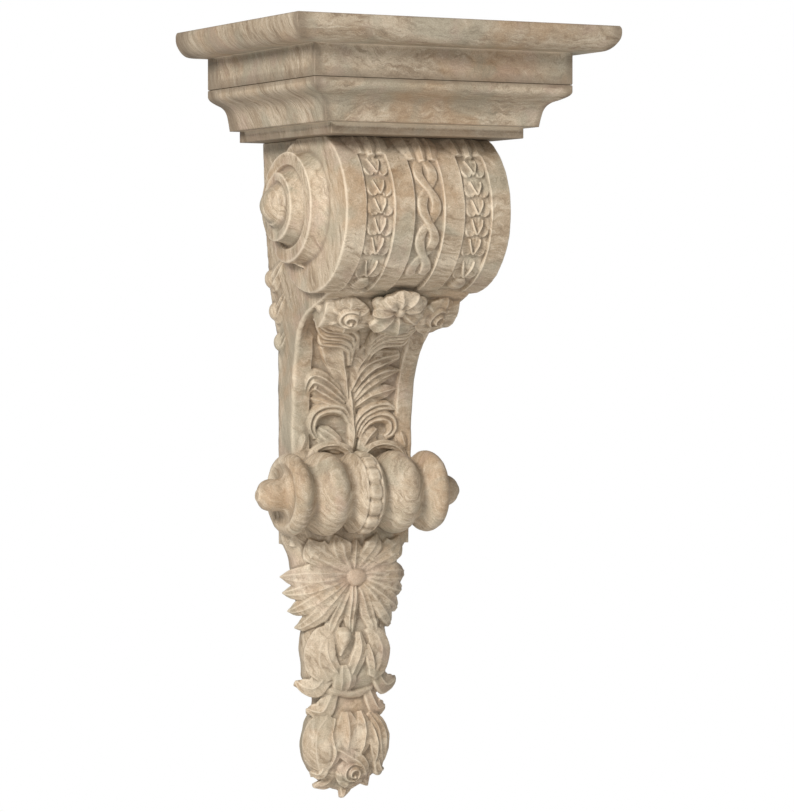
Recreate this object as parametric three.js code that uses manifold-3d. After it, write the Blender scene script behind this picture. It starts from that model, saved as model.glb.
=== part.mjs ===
// A carved stone corbel with a moulded shelf, for a wall.
// Millimetres. X runs across, the wall is the plane y = 0, the front faces -Y and Z is up.
// The origin is on the wall, on the centreline, level with the axis of the upper scroll.
import * as THREE from "three";
import { mergeVertices } from "three/addons/utils/BufferGeometryUtils.js";
import Module from "manifold-3d";

const wasm = await Module();
wasm.setup();

const V = (x, y, z) => new THREE.Vector3(x, y, z);
const SIDES = [-1, 1];
const DEG = Math.PI / 180;

// Shelf and bed moulding
const TOP = 228;
const FASCIA_HALF = 180;
const FASCIA_DEPTH = 310;
const OVERHANG = 45;
const SLAB_HIGH = 32;
const FASCIA_HIGH = 40;
const COURSE_HIGH = 50;
const BED_INSET = 45;
const BED_TOP = TOP - SLAB_HIGH - FASCIA_HIGH - COURSE_HIGH - 2;
const BED_HIGH = 14;
const JOINT = 0.3;
const BODY_TOP = BED_TOP - BED_HIGH - JOINT;

// Triangles in the carved body
const TRIANGLES = 9400;

// Upper scroll
const DRUM = { y: -167, z: -3, r: 101.5, half: 116 };
const EYE = { y: -143, z: -4 };

// Lower roll
const ROLL = { y: -72, z: -362 };

// Front line of the shaft: depth at each height, from under the drum to behind the roll
const SHAFT_Z = [-430, -330, -300, -282, -259, -224, -195, -168, -150, -137, -127, -119, -107, -90];
const SHAFT_Y = [-50, -55, -57, -55, -57, -61, -68, -80, -95, -110, -130, -155, -186, -190];
const PANEL = { top: -146, bottom: -318, deep: 6, border: 26 };

// Value at x in a table that rises or falls
function table(xs, ys, x) {
  const up = xs[0] < xs[xs.length - 1];
  const first = up ? x <= xs[0] : x >= xs[0];
  if (first) return ys[0];
  for (let i = 1; i < xs.length; i++) {
    if (up ? x <= xs[i] : x >= xs[i]) {
      const k = (x - xs[i - 1]) / (xs[i] - xs[i - 1]);
      return ys[i - 1] + k * (ys[i] - ys[i - 1]);
    }
  }
  return ys[ys.length - 1];
}

const shaftY = (z) => table(SHAFT_Z, SHAFT_Y, z);
const shaftHalf = (z) => table([-430, -224, -182, -147, -112, -60, 90], [86, 88, 91, 97, 102, 104, 104], z);
const wallHalf = (z) => table([-430, -170, -100, 0, 90], [80, 80, 92, 99, 102], z);

// Pendant section: half-width and depth at each height
const HANG_Z = [-396, -422, -447, -470, -500, -525, -545, -566, -590, -604, -614, -630, -645, -660,
  -690, -710, -728, -745, -752];
const HANG_W = [82, 90, 76, 73, 68, 54, 58, 61, 57, 58, 47, 40, 41, 52, 60, 57, 46, 26, 10];
const HANG_D = [60, 64, 58, 58, 58, 52, 56, 59, 56, 58, 52, 48, 48, 53, 58, 56, 50, 42, 32];
const HANG_WIDEST = 26;
const hangHalf = (z) => table(HANG_Z, HANG_W, z);
const hangDeep = (z) => table(HANG_Z, HANG_D, z);

// Front surface of the pendant at a point across it
function hangY(x, z) {
  const u = Math.min(0.97, Math.abs(x) / hangHalf(z));
  return -HANG_WIDEST - (hangDeep(z) - HANG_WIDEST) * Math.cbrt(1 - u ** 3);
}

// Makes a solid of points and faces, turned outwards
function solid(points, faces) {
  let volume = 0;
  for (let i = 0; i < faces.length; i += 3) {
    const [a, b, c] = [points[faces[i]], points[faces[i + 1]], points[faces[i + 2]]];
    volume += a.dot(b.clone().cross(c));
  }
  if (volume < 0) faces.reverse();
  const mesh = new wasm.Mesh({
    numProp: 3,
    vertProperties: new Float32Array(points.flatMap((p) => [p.x, p.y, p.z])),
    triVerts: new Uint32Array(faces),
  });
  return new wasm.Manifold(mesh);
}

// A body through rings of points that all run the same way round
function loft(rings) {
  const n = rings[0].length;
  const points = rings.flat();
  const faces = [];
  const last = (rings.length - 1) * n;
  for (let i = 0; i < last; i += n) {
    for (let j = 0; j < n; j++) {
      const a = i + j;
      const b = i + ((j + 1) % n);
      faces.push(a, b, b + n, a, b + n, a + n);
    }
  }
  for (let j = 1; j < n - 1; j++) {
    faces.push(0, j + 1, j);
    faces.push(last, last + j, last + j + 1);
  }
  return solid(points, faces);
}

// A turned body about a line that runs across, from [x, radius] pairs that start and end on that line
function turned(profile, axis, steps) {
  const shape = new THREE.LatheGeometry(profile.map(([x, r]) => new THREE.Vector2(r, x)), steps);
  shape.rotateZ(-Math.PI / 2);
  shape.translate(0, axis.y, axis.z);
  shape.deleteAttribute("normal");
  shape.deleteAttribute("uv");
  const merged = mergeVertices(shape, 1e-4);
  const at = merged.getAttribute("position");
  const points = [];
  for (let i = 0; i < at.count; i++) points.push(new THREE.Vector3().fromBufferAttribute(at, i));
  const index = [...merged.index.array];
  const faces = [];
  for (let i = 0; i < index.length; i += 3) {
    const [a, b, c] = index.slice(i, i + 3);
    if (a !== b && b !== c && c !== a) faces.push(a, b, c);
  }
  return solid(points, faces);
}

// Sections of carved strips: [across, up] as shares of half-width and height
const ROUND = [[-1, 0], [-0.6, 0.75], [0, 1], [0.6, 0.75], [1, 0]];
const CREASED = [[-1, 0.15], [-0.5, 1], [0, 0.5], [0.5, 1], [1, 0.15]];
const RIDGE = [[-1, 0], [0, 1], [1, 0]];

// A carved strip along control points {p, n, w, h}: place, outward direction, half-width and height
function strip(controls, steps, section, sink = 5) {
  const path = new THREE.CatmullRomCurve3(controls.map((c) => c.p), false, "centripetal");
  const rings = [];
  for (let k = 0; k <= steps; k++) {
    const t = k / steps;
    const f = Math.min(t * (controls.length - 1), controls.length - 1.000001);
    const i = Math.floor(f);
    const [a, b] = [controls[i], controls[i + 1]];
    const mix = f - i;
    const w = a.w + mix * (b.w - a.w);
    const h = a.h + mix * (b.h - a.h);
    const out = a.n.clone().lerp(b.n, mix).normalize();
    const along = path.getTangent(t);
    const side = along.clone().cross(out).normalize();
    const up = side.clone().cross(along).normalize();
    const at = path.getPoint(t);
    const place = (u, v) => at.clone().addScaledVector(side, u).addScaledVector(up, v);
    const ring = section.map(([u, v]) => place(u * w, v * h));
    ring.push(place(0.8 * w, -sink), place(-0.8 * w, -sink));
    rings.push(ring);
  }
  return loft(rings);
}

// Control points on a surface y(x, z), from rows of [x, z, half-width, height, lift]
function onSurface(y, rows) {
  return rows.map(([x, z, w, h, lift = 0]) => {
    const n = V(y(x + 1, z) - y(x - 1, z), -2, y(x, z + 1) - y(x, z - 1)).normalize();
    return { p: V(x, y(x, z), z).addScaledVector(n, lift), n, w, h };
  });
}

// Control points on the drum, from rows of [x, angle, half-width, height, lift]; angle 0 is the front
function onDrum(rows, radius = DRUM.r) {
  return rows.map(([x, angle, w, h, lift = 0]) => {
    const n = V(0, -Math.cos(angle * DEG), Math.sin(angle * DEG));
    return { p: V(x, DRUM.y, DRUM.z).addScaledVector(n, radius + lift), n, w, h };
  });
}

// A flower: petals round a hub, on a centre with an outward direction
function flower(centre, out, radius, petals, turn, rise) {
  const across = V(0, 0, 1).cross(out).normalize();
  const upward = out.clone().cross(across).normalize();
  const parts = [];
  const step = (2 * Math.PI) / petals;
  for (let i = 0; i < petals; i++) {
    const a = turn + i * step;
    const ray = across.clone().multiplyScalar(Math.cos(a)).addScaledVector(upward, Math.sin(a));
    const wide = radius * 0.62 * Math.sin(step / 2) * 1.9;
    const at = (share, lift, w, h) => ({
      p: centre.clone().addScaledVector(ray, share * radius).addScaledVector(out, lift),
      n: out,
      w,
      h,
    });
    const line = [
      at(0.12, rise * 0.2, wide * 0.25, rise * 0.4),
      at(0.6, rise * 0.5, wide, rise * 0.8),
      at(1, rise * 0.1, wide * 0.55, rise * 0.4),
    ];
    parts.push(strip(line, 3, CREASED, rise));
  }
  const hub = new THREE.IcosahedronGeometry(radius * 0.26, 1);
  hub.translate(...centre.clone().addScaledVector(out, rise * 0.6).toArray());
  parts.push(fromGeometry(hub));
  return parts;
}

// A solid from a three.js geometry
function fromGeometry(geometry) {
  geometry.deleteAttribute("normal");
  geometry.deleteAttribute("uv");
  const merged = mergeVertices(geometry, 1e-4);
  const at = merged.getAttribute("position");
  const points = [];
  for (let i = 0; i < at.count; i++) points.push(new THREE.Vector3().fromBufferAttribute(at, i));
  return solid(points, [...merged.index.array]);
}

// Error of a point against a sum of planes, kept as the ten terms of a symmetric matrix
function planeError(q, x, y, z) {
  return x * (q[0] * x + 2 * (q[1] * y + q[2] * z + q[3])) + y * (q[4] * y + 2 * (q[5] * z + q[6]))
    + z * (q[7] * z + 2 * q[8]) + q[9];
}

// A heap of edges, the cheapest first
function pushEntry(heap, entry) {
  let i = heap.push(entry) - 1;
  while (i > 0) {
    const up = (i - 1) >> 1;
    if (heap[up].cost <= entry.cost) break;
    heap[i] = heap[up];
    i = up;
  }
  heap[i] = entry;
}
function popEntry(heap) {
  const top = heap[0];
  const entry = heap.pop();
  if (!heap.length) return top;
  let i = 0;
  for (;;) {
    let child = 2 * i + 1;
    if (child >= heap.length) break;
    if (child + 1 < heap.length && heap[child + 1].cost < heap[child].cost) child++;
    if (heap[child].cost >= entry.cost) break;
    heap[i] = heap[child];
    i = child;
  }
  heap[i] = entry;
  return top;
}

// The same body with about the given number of triangles: its shortest, flattest edges close up one by one.
// Points on the wall or on the top bed stay in those planes.
function thinned(made, target) {
  const mesh = made.getMesh();
  const at = [];
  for (let i = 0; i < mesh.numVert; i++) {
    at.push(V(...mesh.vertProperties.subarray(i * mesh.numProp, i * mesh.numProp + 3)));
  }
  const planeOf = at.map((p) => (Math.abs(p.y) < 1e-3 ? 1 : 0) + (Math.abs(p.z - BODY_TOP) < 1e-3 ? 2 : 0));
  const faces = [];
  const around = at.map(() => new Set());
  const errors = at.map(() => new Float64Array(10));
  const normalOf = (a, b, c) => b.clone().sub(a).cross(c.clone().sub(a));
  for (let i = 0; i < mesh.triVerts.length; i += 3) {
    const face = [...mesh.triVerts.subarray(i, i + 3)];
    for (const v of face) around[v].add(faces.length);
    faces.push(face);
    const n = normalOf(...face.map((v) => at[v]));
    const area = n.length();
    if (area < 1e-9) continue;
    n.divideScalar(area);
    const d = -n.dot(at[face[0]]);
    const { x, y, z } = n;
    const terms = [x * x, x * y, x * z, x * d, y * y, y * z, y * d, z * z, z * d, d * d];
    for (const v of face) terms.forEach((t, k) => (errors[v][k] += t * area));
  }
  const stamp = new Uint32Array(at.length);
  const heap = [];
  const neighbours = (v) => {
    const found = new Set();
    for (const f of around[v]) faces[f].forEach((w) => found.add(w));
    found.delete(v);
    return found;
  };
  const consider = (a, b) => {
    if (planeOf[a] !== planeOf[b]) return;
    const q = errors[a].map((t, k) => t + errors[b][k]);
    const choices = [0, 0.25, 0.5, 0.75, 1].map((k) => at[a].clone().lerp(at[b], k));
    const best = choices.reduce((m, p) => {
      const cost = planeError(q, p.x, p.y, p.z);
      return cost < m.cost ? { cost, p } : m;
    }, { cost: Infinity });
    const cost = best.cost + 1e-4 * at[a].distanceToSquared(at[b]);
    pushEntry(heap, { cost, a, b, p: best.p, sa: stamp[a], sb: stamp[b] });
  };
  faces.forEach((face) => face.forEach((a, k) => {
    const b = face[(k + 1) % 3];
    if (a < b) consider(a, b);
  }));
  let left = faces.length;
  while (left > target && heap.length) {
    const { a, b, p, sa, sb } = popEntry(heap);
    if (stamp[a] !== sa || stamp[b] !== sb) continue;
    const nearB = neighbours(b);
    const shared = [...neighbours(a)].filter((v) => nearB.has(v));
    if (shared.length !== 2) continue;
    const folds = [a, b].some((v) => [...around[v]].some((f) => {
      const face = faces[f];
      if (face.includes(a) && face.includes(b)) return false;
      const before = normalOf(...face.map((w) => at[w]));
      const after = normalOf(...face.map((w) => (w === v ? p : at[w])));
      return after.length() < 1e-4 || before.dot(after) < 0.3 * before.length() * after.length();
    }));
    if (folds) continue;
    at[a] = p;
    errors[b].forEach((t, k) => (errors[a][k] += t));
    for (const f of around[b]) {
      const face = faces[f];
      if (face.includes(a)) {
        face.forEach((w) => w !== b && around[w].delete(f));
        faces[f] = null;
        left--;
      } else {
        face[face.indexOf(b)] = a;
        around[a].add(f);
      }
    }
    around[b].clear();
    stamp[a]++;
    stamp[b]++;
    for (const v of neighbours(a)) consider(a, v);
  }
  const kept = faces.filter((face) => face);
  const used = [...new Set(kept.flat())];
  const place = new Map(used.map((v, k) => [v, k]));
  return solid(used.map((v) => at[v]), kept.flat().map((v) => place.get(v)));
}

// Mitred moulding on three sides of a block: profile rows of [offset, z]
function moulding(half, deep, profile) {
  return loft(profile.map(([o, z]) => [
    V(-half - o, 0, z),
    V(-half - o, -deep - o, z),
    V(half + o, -deep - o, z),
    V(half + o, 0, z),
  ]));
}

// Shelf slab: bullnose edge over a plain fascia
const under = TOP - SLAB_HIGH;
const shelf = moulding(FASCIA_HALF, FASCIA_DEPTH, [
  [OVERHANG - 2, TOP],
  [OVERHANG - 0.4, TOP - 3],
  [OVERHANG, TOP - 9],
  [OVERHANG - 1, TOP - 15],
  [OVERHANG - 4, TOP - 21],
  [OVERHANG - 9, TOP - 27],
  [OVERHANG - 16, TOP - 31],
  [0, under],
  [0, under - FASCIA_HIGH + 1.5],
  [-1.5, under - FASCIA_HIGH],
]);

// Bed moulding: a rolled lip, a hollow and a plain fascia set back
const lip = under - FASCIA_HIGH - JOINT;
const bed = moulding(FASCIA_HALF, FASCIA_DEPTH, [
  [-1.5, lip],
  [0, lip - 1.5],
  [0, lip - 9],
  [-2, lip - 12.5],
  [-5.5, lip - 15.2],
  [-12, lip - 18.5],
  [-19, lip - 21.5],
  [-23.5, lip - 25.5],
  [-26.5, lip - 31],
  [-28.5, lip - 39],
  [-30.5, lip - COURSE_HIGH],
  [-30.5, BED_TOP],
  [-BED_INSET, BED_TOP],
  [-BED_INSET, BED_TOP - BED_HIGH],
]);

// Body: level sections from under the bed moulding to behind the roll, with a sunk panel in the shaft's face
const bodyLevels = [BODY_TOP, 40, -40, -90, -107, -119, -127, -137, -145, -150, -159, -168, -181, -195,
  -209, -224, -241, -259, -282, -300, -318, -322, -362, -400, -430];
const body = loft(bodyLevels.map((z) => {
  const y = z > -90 ? DRUM.y : shaftY(z);
  const front = shaftHalf(z);
  const back = wallHalf(z);
  const sunk = z <= PANEL.top && z >= PANEL.bottom ? PANEL.deep : 0;
  const inner = front - PANEL.border;
  const half = [
    [back, 0],
    [front, y + 4],
    [front - 4, y],
    [inner + 3, y],
    [inner - 2, y + sunk],
  ];
  const right = half.map(([x, d]) => V(x, d, z));
  const left = half.map(([x, d]) => V(-x, d, z)).reverse();
  return [...right, ...left];
}));

// Drum of the upper scroll, with three sunk bands round its face
const BAND = { outer: 87, inner: 50, centre: 20, deep: 4 };
const drumHalf = [
  [DRUM.half, DRUM.r - 1],
  [DRUM.half - 1.5, DRUM.r],
  [BAND.outer + 1, DRUM.r],
  [BAND.outer - 1, DRUM.r - BAND.deep],
  [BAND.inner + 1, DRUM.r - BAND.deep],
  [BAND.inner - 1, DRUM.r],
  [BAND.centre + 1, DRUM.r],
  [BAND.centre - 1, DRUM.r - BAND.deep],
];
const mirrored = (rows) => [...rows, ...rows.map(([x, r]) => [-x, r]).reverse()];
const drum = turned([[DRUM.half, 0], ...mirrored(drumHalf), [-DRUM.half, 0]], DRUM, 52);

// Volute rim: radius and height of its outer edge after a number of turns from the lowest point
const VOLUTE = { turns: 2.5, steps: 24, shrink: 0.59, share: 0.25 };
const rimRadius = (turn) => DRUM.r * VOLUTE.shrink ** Math.max(0, turn - 0.5);
const rimHeight = (turn) => table([0, 0.12, 0.5, 1.25, 2.25, 3.5], [104, 115.5, 115.5, 137, 153, 164], turn);

// Centre of the volute, which moves from the drum's axis to the eye as it winds in
function voluteCentre(turn) {
  const k = Math.min(1, Math.max(0, (turn - 0.5) / 0.75));
  return { y: DRUM.y + k * (EYE.y - DRUM.y), z: DRUM.z + k * (EYE.z - DRUM.z) };
}

function volute(side) {
  const rings = [];
  const count = Math.round(VOLUTE.turns * VOLUTE.steps);
  for (let i = 0; i <= count; i++) {
    const turn = i / VOLUTE.steps;
    const angle = -Math.PI / 2 + 2 * Math.PI * turn;
    const centre = voluteCentre(turn);
    const outer = rimRadius(turn);
    const inner = rimRadius(turn + 1);
    const high = rimHeight(turn);
    const next = rimHeight(turn + 1);
    const rim = outer - VOLUTE.share * outer;
    const floor = high - 0.05 * outer;
    const section = [
      [outer, 92],
      [outer, high],
      [rim, high],
      [rim + 0.3 * (inner - rim), floor],
      [rim + 0.7 * (inner - rim), floor + 0.25 * (next - floor)],
      [inner - 1, next - 3],
      [inner - 1, 92],
    ];
    const ahead = -Math.cos(angle);
    const above = Math.sin(angle);
    rings.push(section.map(([r, x]) => V(side * x, centre.y + r * ahead, centre.z + r * above)));
  }
  const boss = [[90, 0], [90, 22], [153, 22], [162, 19], [169, 12], [172, 0]];
  return [loft(rings), turned(boss.map(([x, r]) => [side * x, r]), EYE, 14)];
}

// Chain of overlapping husks in the two outer bands of the drum
function chain(side) {
  const parts = [];
  const middle = side * (BAND.outer + BAND.inner) / 2;
  const pitch = 14;
  for (let i = 0; i < 7; i++) {
    const a = 46 - i * pitch;
    const long = i === 6 ? 1.5 : 1;
    const cup = [
      [middle, a, 15, 2, -5],
      [middle, a - pitch * 0.5 * long, 14, 4, -3],
      [middle, a - pitch * 0.92 * long, 8, 5, -3],
    ];
    parts.push(strip(onDrum(cup), 3, ROUND, 3));
    for (const s of SIDES) {
      const vein = [
        [middle + s * 8, a - 1, 1.6, 3, -2],
        [middle + s * 1.2, a - pitch * 0.75 * long, 1.6, 3.5, 0],
      ];
      parts.push(strip(onDrum(vein), 1, RIDGE, 3));
    }
  }
  return parts;
}

// Twisted ribbon in the middle band of the drum
function ribbon() {
  const parts = [];
  for (const s of SIDES) {
    const line = [];
    for (let i = 0; i <= 16; i++) {
      const phase = (i / 4) * Math.PI;
      line.push([s * 9 * Math.sin(phase), 48 - i * 6.4, 4, 5 + s * 1.5 * Math.cos(phase), -3.5]);
    }
    parts.push(strip(onDrum(line), 22, RIDGE, 3));
  }
  return parts;
}

// Leaves that hang from under the bed moulding over the head of each band
function crown() {
  const parts = [];
  for (const x of [-68.5, 0, 68.5]) {
    for (const [dx, reach, wide] of [[-15, 13, 8], [0, 18, 9], [15, 13, 8]]) {
      const rows = [
        [x + dx * 1.1, 68, wide, 5, -1],
        [x + dx, 68 - reach * 0.5, wide * 0.8, 6, 0],
        [x + dx * 0.6, 68 - reach, 1, 2, -1],
      ];
      parts.push(strip(onDrum(rows), 3, CREASED, 5));
    }
  }
  return parts;
}

// Garland of flowers and leaves under the drum
function garland() {
  const parts = [];
  const out = V(0, -0.72, -0.69).normalize();
  const swag = (x) => ({ p: V(x, -150 - 6 * Math.cos(x / 60), -127), n: out, w: 24, h: 13 });
  parts.push(strip([-90, -50, 0, 50, 90].map(swag), 6, ROUND, 20));
  parts.push(...flower(V(0, -180, -128), out, 32, 8, 0.2, 9));
  for (const s of SIDES) {
    const facing = V(s * 0.25, -0.72, -0.69).normalize();
    parts.push(...flower(V(s * 62, -163, -131), facing, 25, 6, 0.5, 7));
    const leaf = [
      { p: V(s * 30, -164, -112), n: out, w: 4, h: 5 },
      { p: V(s * 36, -166, -128), n: out, w: 10, h: 9 },
      { p: V(s * 35, -146, -148), n: out, w: 2, h: 4 },
    ];
    parts.push(strip(leaf, 4, CREASED, 8));
    const drape = [
      { p: V(s * 84, -108, -145), n: V(0, -0.9, -0.4), w: 9, h: 9 },
      { p: V(s * 52, -104, -152), n: V(0, -0.9, -0.4), w: 12, h: 11 },
      { p: V(s * 22, -98, -157), n: V(0, -0.9, -0.4), w: 12, h: 10 },
      { p: V(s * 7, -80, -178), n: V(0, -0.9, -0.4), w: 6, h: 6 },
    ];
    parts.push(strip(drape, 6, CREASED, 12));
  }
  return parts;
}

// Foliage in the sunk panel: a stem that flares to the left, an acanthus on the right, curled leaves below
const panelY = (x, z) => shaftY(z) + PANEL.deep;
function foliage() {
  const lines = [
    [[0, -304, 8, 9], [2, -272, 5, 9], [-2, -246, 6, 10], [-4, -225, 6, 9], [-12, -196, 9, 8],
      [-28, -164, 20, 9]],
    [[2, -226, 4, 7], [16, -203, 9, 10], [30, -186, 12, 11], [46, -166, 14, 9]],
    [[6, -238, 4, 7], [26, -224, 10, 10], [48, -212, 11, 11], [63, -184, 3, 6]],
    [[6, -262, 4, 7], [20, -244, 7, 9], [44, -238, 8, 10], [64, -226, 5, 9], [68, -206, 2, 5]],
    [[-10, -246, 4, 7], [-28, -226, 12, 10], [-46, -212, 14, 13], [-63, -212, 10, 12], [-67, -232, 4, 8]],
  ];
  const parts = lines.map((rows) => strip(onSurface(panelY, rows), rows.length * 2 - 2, CREASED, 4));
  for (const s of SIDES) {
    const scroll = [
      [s * 5, -300, 5, 7],
      [s * 14, -268, 7, 10],
      [s * 30, -255, 8, 12],
      [s * 48, -252, 8, 12],
      [s * 59, -266, 7, 11],
      [s * 54, -283, 6, 9],
      [s * 40, -285, 4, 7],
    ];
    parts.push(strip(onSurface(panelY, scroll), 9, CREASED, 4));
    const inner = [[s * 12, -304, 5, 6], [s * 22, -286, 8, 9], [s * 36, -270, 3, 5]];
    parts.push(strip(onSurface(panelY, inner), 3, CREASED, 4));
    const arch = [];
    for (let i = 0; i <= 6; i++) {
      const a = (i / 6) * Math.PI;
      arch.push([s * 41 - 35 * Math.cos(a), -321 + 19 * Math.sin(a), 4.5, 7, -2]);
    }
    parts.push(strip(onSurface((x, z) => shaftY(z), arch), 8, RIDGE, 8));
  }
  return parts;
}

// Leaves down the back edge of each side, behind the volute
function sideLeaves(side) {
  const parts = [];
  for (const [z, reach, high] of [[-76, 34, 9], [-118, 30, 9], [-158, 26, 11]]) {
    const out = V(side, 0, 0);
    const x = (level) => side * (wallHalf(level) - 1);
    const line = [
      { p: V(x(z + 26), -50, z + 26), n: out, w: 5, h: 4 },
      { p: V(x(z + 8), -reach, z + 8), n: out, w: 12, h: high },
      { p: V(x(z - 8), -16, z - 8), n: out, w: 11, h: high + 2 },
      { p: V(x(z - 20), -9, z - 20), n: out, w: 3, h: 5 },
    ];
    parts.push(strip(line, 5, CREASED, 6));
  }
  return parts;
}

// Lower roll: lobes, grooves and rolled ends, with a row of beads round the middle
const rollHalf = [
  [143, 9],
  [138, 16],
  [130, 20],
  [112, 21],
  [106, 28],
  [107, 36],
  [111, 42],
  [108, 49],
  [100, 53],
  [90, 52],
  [82, 46],
  [79, 42],
  [76, 48],
  [65, 52],
  [51, 54],
  [38, 50],
  [26, 43],
  [18, 47],
  [10, 52],
  [8, 49],
];
function roll() {
  const parts = [turned([[145, 0], ...mirrored(rollHalf), [-145, 0]], ROLL, 30)];
  for (let i = 0; i < 9; i++) {
    const a = (74 - i * 21) * DEG;
    const bead = new THREE.SphereGeometry(10.5, 7, 5);
    bead.translate(0, ROLL.y - 48 * Math.cos(a), ROLL.z + 48 * Math.sin(a));
    parts.push(fromGeometry(bead));
  }
  return parts;
}

// Pendant below the roll: level sections, flat at the wall
const hang = loft(HANG_Z.map((z) => {
  const half = hangHalf(z);
  const front = hangDeep(z) - HANG_WIDEST;
  const ring = [V(half * 0.76, 0, z), V(half * 0.93, -10, z)];
  for (let i = 0; i <= 10; i++) {
    const a = (i / 10) * Math.PI;
    const c = Math.cos(a);
    const x = half * Math.sign(c) * Math.abs(c) ** (2 / 3);
    ring.push(V(x, -HANG_WIDEST - front * Math.sin(a) ** (2 / 3), z));
  }
  ring.push(V(-half * 0.93, -10, z), V(-half * 0.76, 0, z));
  return ring;
}));

// Pointed petals that spread from the knot of the pendant
function palmette() {
  const parts = [];
  for (const s of SIDES) {
    for (const [z, tip, wide] of [[-471, 90, 13], [-492, 86, 12], [-516, 79, 12], [-538, 69, 11]]) {
      const line = [
        { p: V(s * 6, -60, -470), n: V(0, -1, 0), w: 4, h: 3 },
        { p: V(s * tip * 0.4, -57, -470 + (z + 470) * 0.42), n: V(s * 0.2, -1, 0), w: wide * 0.9, h: 8 },
        { p: V(s * tip * 0.7, -47, -470 + (z + 470) * 0.75), n: V(s * 0.5, -1, 0), w: wide, h: 9 },
        { p: V(s * tip, -24, z), n: V(s * 0.8, -0.7, 0), w: 0.8, h: 2 },
      ];
      parts.push(strip(line, 5, CREASED, 8));
    }
    for (const [x, z, wide] of [[30, -416, 14], [66, -420, 14]]) {
      const line = [
        { p: V(s * 6, -60, -466), n: V(0, -1, 0), w: 4, h: 3 },
        { p: V(s * (x * 0.55 + 3), -59, -446), n: V(s * 0.2, -1, 0), w: wide * 0.8, h: 8 },
        { p: V(s * x * 0.9, hangY(x, z - 8) - 3, z - 12), n: V(s * 0.4, -1, 0), w: wide, h: 8 },
        { p: V(s * x, hangY(x, z) - 2, z), n: V(s * 0.5, -1, 0), w: 1, h: 2 },
      ];
      parts.push(strip(line, 4, CREASED, 8));
    }
    const heel = [
      [s * 4, -476, 5, 6],
      [s * 16, -500, 8, 8],
      [s * 26, -530, 9, 7],
      [s * 34, -548, 2, 3],
    ];
    parts.push(strip(onSurface(hangY, heel), 4, CREASED, 6));
  }
  parts.push(...flower(V(0, -60, -466), V(0, -1, 0), 15, 5, 0.4, 7));
  parts.push(strip(onSurface(hangY, [[0, -474, 5, 9], [-2, -505, 6, 9], [-4, -540, 7, 8]]), 4, ROUND, 6));
  return parts;
}

// Husk of leaves on a bulb of the pendant: side leaves with curled tips and a pointed leaf in front
function husk(top, bottom, tip, flare) {
  const parts = [];
  const mid = (top + bottom) / 2;
  for (const s of SIDES) {
    const wide = [
      { p: V(s * 30, hangY(30, top) - 1, top), n: V(s * 0.4, -1, 0), w: 9, h: 4 },
      { p: V(s * 47, hangY(40, mid) - 2, mid), n: V(s * 0.8, -0.8, 0), w: 19, h: 7 },
      { p: V(s * 48, -34, bottom + 6), n: V(s * 0.9, -0.6, 0), w: 13, h: 7 },
      { p: V(s * flare, -33, tip), n: V(s * 0.2, -0.2, 1), w: 2, h: 3 },
    ];
    parts.push(strip(wide, 6, CREASED, 8));
    const front = [
      [s * 6, top + 2, 6, 4],
      [s * 18, mid + 6, 11, 8],
      [s * 13, mid - 18, 8, 7],
      [s * 3, bottom + 4, 2, 4],
    ];
    parts.push(strip(onSurface(hangY, front), 4, CREASED, 6));
  }
  return parts;
}

function drops() {
  const parts = [...husk(-528, -600, -609, 73), ...husk(-652, -722, -727, 52)];
  parts.push(strip(onSurface(hangY, [[-2, -544, 6, 6], [-2, -556, 8, 11], [-2, -574, 2, 7]]), 3, ROUND, 5));
  for (const s of SIDES) {
    const small = [
      { p: V(s * 30, -38, -624), n: V(s * 0.7, -1, 0), w: 9, h: 4 },
      { p: V(s * 40, -36, -638), n: V(s * 0.8, -0.8, 0), w: 8, h: 5 },
      { p: V(s * 57, -31, -646), n: V(s * 0.2, -0.2, 1), w: 1, h: 2 },
    ];
    parts.push(strip(small, 3, CREASED, 6));
  }
  const tips = [
    [[-16, -40, -722], [-30, -38, -738], [-47, -34, -745]],
    [[2, -36, -730], [-2, -34, -750], [-8, -38, -761]],
    [[14, -42, -722], [22, -42, -736], [28, -40, -745]],
  ];
  for (const line of tips) {
    const widths = [12, 9, 2];
    const controls = line.map(([x, y, z], i) => ({ p: V(x, y, z), n: V(0, -1, -0.2), w: widths[i], h: 5 }));
    parts.push(strip(controls, 3, ROUND, 5));
  }
  parts.push(...flower(V(0, -52, -726), V(0, -0.95, -0.3).normalize(), 21, 5, 0.6, 8));
  return parts;
}

const carving = [
  body,
  drum,
  hang,
  ...SIDES.flatMap((side) => [...volute(side), ...chain(side), ...sideLeaves(side)]),
  ...ribbon(),
  ...crown(),
  ...garland(),
  ...foliage(),
  ...roll(),
  ...palmette(),
  ...drops(),
];
const reach = 400;
const joined = wasm.Manifold.union(carving);
const block = loft([-800, BODY_TOP].map((z) => [
  V(-reach, 0, z),
  V(-reach, -reach, z),
  V(reach, -reach, z),
  V(reach, 0, z),
]));
const largest = (made) => made.decompose().reduce((a, b) => (b.volume() > a.volume() ? b : a));
const bracket = largest(thinned(largest(joined.intersect(block)), TRIANGLES));

// Names, finishes and meshes
const stone = new THREE.MeshStandardMaterial({ color: 0xc2ad93, roughness: 0.55 });
const object = new THREE.Group();

function add(name, made) {
  const mesh = made.getMesh();
  const geometry = new THREE.BufferGeometry();
  geometry.setAttribute("position", new THREE.BufferAttribute(mesh.vertProperties, 3));
  geometry.setIndex(new THREE.BufferAttribute(mesh.triVerts, 1));
  const node = new THREE.Mesh(geometry, stone.clone());
  node.name = name;
  object.add(node);
}

add("shelf_slab", shelf);
add("bed_moulding", bed);
add("scroll_bracket", bracket);

export default object;
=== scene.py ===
# A carved stone corbel with a moulded shelf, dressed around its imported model.
# Shapes are worked out in millimetres in the model's frame: X runs across, the wall is the plane y = 0,
# the front faces -Y and Z is up. They are turned into metres where a mesh is made.
from functools import partial
import math

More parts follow.
